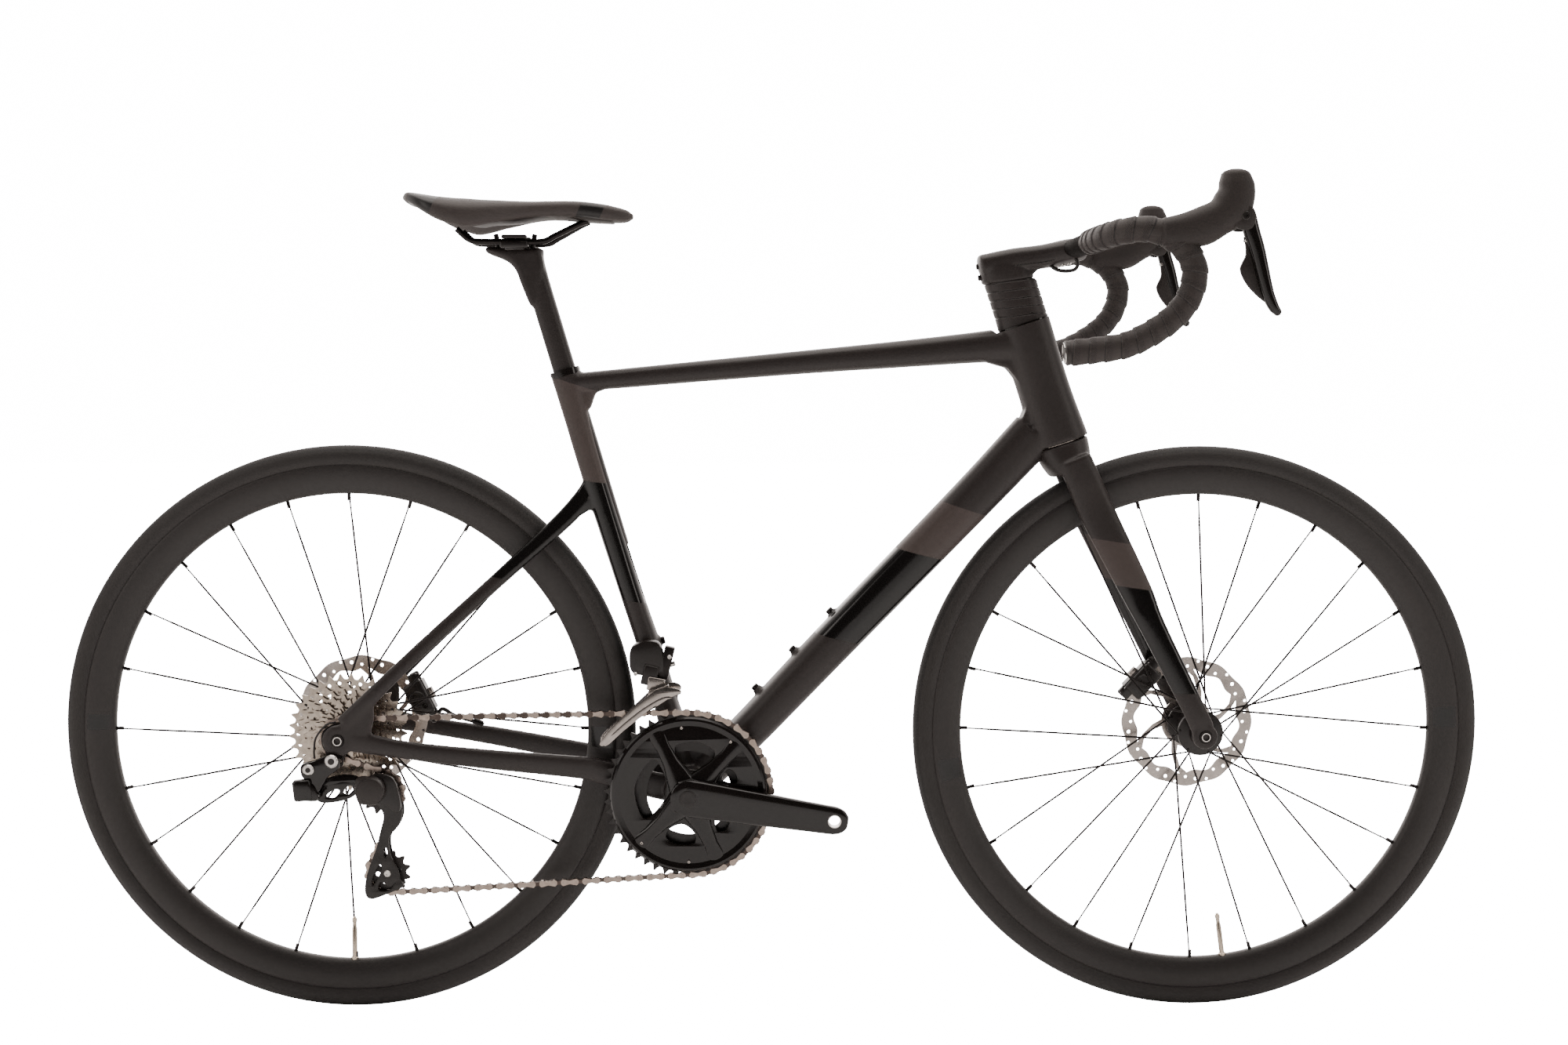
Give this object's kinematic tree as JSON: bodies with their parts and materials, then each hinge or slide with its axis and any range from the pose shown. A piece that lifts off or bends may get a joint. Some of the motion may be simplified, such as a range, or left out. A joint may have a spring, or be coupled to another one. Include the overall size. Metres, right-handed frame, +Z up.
{
  "type": "road bicycle",
  "caption": "Disc-brake road bicycle with aero tubes, drop bar, electronic shifting, deep rims and bare pedal holes; steering, wheels, cranks, derailleurs, levers and saddle post move.",
  "frame": {"origin": "on the ground, midway between the two wheel axles and the two sides", "axes": "+X forward, +Y to the rider's left, +Z up; the chain is on the -Y side"},
  "size_m": [1.688, 0.4686, 0.9793],
  "materials": {
    "frame_paint": "matte dark grey-black lacquer on carbon fibre",
    "gloss_black": "gloss black lacquer",
    "rubber": "matte black tyre rubber",
    "grip": "matte dark grip foam and rubber",
    "saddle_cover": "matte synthetic leather with gloss bands",
    "steel": "bare steel",
    "chain_steel": "grey-brown coated steel",
    "black_alloy": "black anodised",
    "silver_alloy": "bright anodised",
    "plastic": "dark moulded composite"
  },
  "bodies": {
    "frame": {"main_frame": "frame_paint", "right_rear_stays": "frame_paint", "left_rear_stays": "frame_paint", "derailleur_hanger": "black_alloy", "bottom_bracket_cup_right": "black_alloy", "bottom_bracket_cup_left": "black_alloy", "headset_bearing_lower": "steel", "headset_bearing_upper": "steel", "rear_axle": "black_alloy", "rear_brake_caliper": "black_alloy", "rear_brake_hose": "rubber", "rear_mech_wire": "rubber", "front_mech_body": "plastic", "chain": "chain_steel", "rear_mech_upper_knuckle": "gloss_black"},
    "seatpost": {"seatpost": "frame_paint"},
    "saddle": {"saddle_rails": "steel", "saddle_shell": "plastic", "saddle_pad": "saddle_cover"},
    "steering": {"fork": "frame_paint", "spacer_stack_1": "frame_paint", "spacer_stack_2": "frame_paint", "stem": "frame_paint", "handlebar": "black_alloy", "bar_tape_right": "grip", "bar_tape_left": "grip", "brake_hood_right": "grip", "brake_hood_left": "grip", "front_axle": "black_alloy", "front_brake_caliper": "black_alloy"},
    "right_lever": {"brake_lever_right": "gloss_black"},
    "left_lever": {"brake_lever_left": "gloss_black"},
    "right_paddle": {"shift_paddle_right": "plastic"},
    "left_paddle": {"shift_paddle_left": "plastic"},
    "front_pad_right": {"front_brake_pad_right": "steel"},
    "front_pad_left": {"front_brake_pad_left": "steel"},
    "rear_pad_right": {"rear_brake_pad_right": "steel"},
    "rear_pad_left": {"rear_brake_pad_left": "steel"},
    "front_wheel": {"front_tyre": "rubber", "front_rim": "gloss_black", "front_hub": "black_alloy", "front_spokes": "black_alloy", "front_brake_rotor": "steel"},
    "rear_wheel": {"rear_tyre": "rubber", "rear_rim": "gloss_black", "rear_hub": "black_alloy", "rear_spokes": "black_alloy", "rear_brake_rotor": "steel"},
    "cassette": {"cassette": "steel", "freehub_body": "black_alloy"},
    "crank": {"crank_arm_right": "gloss_black", "crank_arm_left": "gloss_black", "chainring_outer": "black_alloy", "chainring_inner": "black_alloy"},
    "rear_mech_link": {"rear_mech_link": "gloss_black"},
    "rear_mech_knuckle": {"rear_mech_lower_knuckle": "plastic"},
    "rear_mech_cage": {"rear_mech_cage": "gloss_black"},
    "guide_pulley": {"guide_pulley": "plastic"},
    "tension_pulley": {"tension_pulley": "plastic"},
    "front_mech_cage": {"front_mech_cage": "silver_alloy"}
  },
  "joints": [
    {"name": "seat_height", "type": "slide", "parent": "frame", "child": "seatpost", "axis": [-0.284, 0, 0.9588], "range_m": [-0.055, 0.04]},
    {"name": "saddle_fore_aft", "type": "slide", "parent": "seatpost", "child": "saddle", "axis": [1, 0, 0], "range_m": [-0.008, 0.008]},
    {"name": "steering", "type": "hinge", "parent": "frame", "child": "steering", "pos_m": [0.34042, 0, 0.6806], "axis": [-0.314, 0, 0.9494], "range_deg": [-50, 50]},
    {"name": "front_wheel_spin", "type": "hinge", "parent": "steering", "child": "front_wheel", "pos_m": [0.505, 0, 0.339], "axis": [0, 1, 0], "continuous": true},
    {"name": "rear_wheel_spin", "type": "hinge", "parent": "frame", "child": "rear_wheel", "pos_m": [-0.505, 0, 0.339], "axis": [0, 1, 0], "continuous": true},
    {"name": "crank_spin", "type": "hinge", "parent": "frame", "child": "crank", "pos_m": [-0.10102, 0, 0.269], "axis": [0, 1, 0], "continuous": true},
    {"name": "cassette_spin", "type": "hinge", "parent": "frame", "child": "cassette", "pos_m": [-0.505, 0, 0.339], "axis": [0, 1, 0], "continuous": true},
    {"name": "rear_mech_shift", "type": "hinge", "parent": "frame", "child": "rear_mech_link", "pos_m": [-0.53, -0.068, 0.283], "axis": [0, 0.6, 0.8], "range_deg": [0, 50], "deforming": ["chain"]},
    {"name": "rear_mech_knuckle_turn", "type": "hinge", "parent": "rear_mech_link", "child": "rear_mech_knuckle", "pos_m": [-0.481, -0.069, 0.285], "axis": [0, 0.6, 0.8], "range_deg": [-50, 0]},
    {"name": "rear_mech_cage_swing", "type": "hinge", "parent": "rear_mech_knuckle", "child": "rear_mech_cage", "pos_m": [-0.467, -0.06094, 0.2811], "axis": [0, 1, 0], "range_deg": [-40, 10], "stiffness_Nm_per_rad": 0.6},
    {"name": "guide_pulley_spin", "type": "hinge", "parent": "rear_mech_cage", "child": "guide_pulley", "pos_m": [-0.459, -0.06094, 0.2745], "axis": [0, 1, 0], "continuous": true},
    {"name": "tension_pulley_spin", "type": "hinge", "parent": "rear_mech_cage", "child": "tension_pulley", "pos_m": [-0.4525, -0.06094, 0.1799], "axis": [0, 1, 0], "continuous": true},
    {"name": "front_mech_swing", "type": "hinge", "parent": "frame", "child": "front_mech_cage", "pos_m": [-0.14, -0.047, 0.42], "axis": [1, 0, 0], "range_deg": [0, 6.5]},
    {"name": "right_brake_lever_pull", "type": "hinge", "parent": "steering", "child": "right_lever", "pos_m": [0.5, -0.215, 0.9358], "axis": [0, 1, 0], "range_deg": [0, 22], "stiffness_Nm_per_rad": 0.6, "springref_deg": -14.32},
    {"name": "left_brake_lever_pull", "type": "hinge", "parent": "steering", "child": "left_lever", "pos_m": [0.5, 0.215, 0.9358], "axis": [0, 1, 0], "range_deg": [0, 22], "stiffness_Nm_per_rad": 0.6, "springref_deg": -14.32},
    {"name": "right_shift_paddle_press", "type": "hinge", "parent": "right_lever", "child": "right_paddle", "pos_m": [0.497, -0.215, 0.908], "axis": [1, 0, 0], "range_deg": [0, 9], "stiffness_Nm_per_rad": 0.3, "springref_deg": -8.59},
    {"name": "left_shift_paddle_press", "type": "hinge", "parent": "left_lever", "child": "left_paddle", "pos_m": [0.497, 0.215, 0.908], "axis": [-1, 0, 0], "range_deg": [0, 9], "stiffness_Nm_per_rad": 0.3, "springref_deg": -8.59},
    {"name": "rear_pad_right_squeeze", "type": "slide", "parent": "frame", "child": "rear_pad_right", "axis": [0, 1, 0], "range_m": [0, 0.0004]},
    {"name": "rear_pad_left_squeeze", "type": "slide", "parent": "frame", "child": "rear_pad_left", "axis": [0, -1, 0], "range_m": [0, 0.0004]},
    {"name": "front_pad_right_squeeze", "type": "slide", "parent": "steering", "child": "front_pad_right", "axis": [0, 1, 0], "range_m": [0, 0.0004]},
    {"name": "front_pad_left_squeeze", "type": "slide", "parent": "steering", "child": "front_pad_left", "axis": [0, -1, 0], "range_m": [0, 0.0004]}
  ],
  "couplings": [
    {"joint": "cassette_spin", "follows": "crank_spin", "ratio": 4.3636},
    {"joint": "guide_pulley_spin", "follows": "crank_spin", "ratio": -4},
    {"joint": "tension_pulley_spin", "follows": "crank_spin", "ratio": 4},
    {"joint": "rear_mech_knuckle_turn", "follows": "rear_mech_shift", "ratio": -1},
    {"joint": "rear_pad_right_squeeze", "follows": "right_brake_lever_pull", "m_per_rad": 0.0010407},
    {"joint": "rear_pad_left_squeeze", "follows": "right_brake_lever_pull", "m_per_rad": 0.0010407},
    {"joint": "front_pad_right_squeeze", "follows": "left_brake_lever_pull", "m_per_rad": 0.0010407},
    {"joint": "front_pad_left_squeeze", "follows": "left_brake_lever_pull", "m_per_rad": 0.0010407}
  ]
}
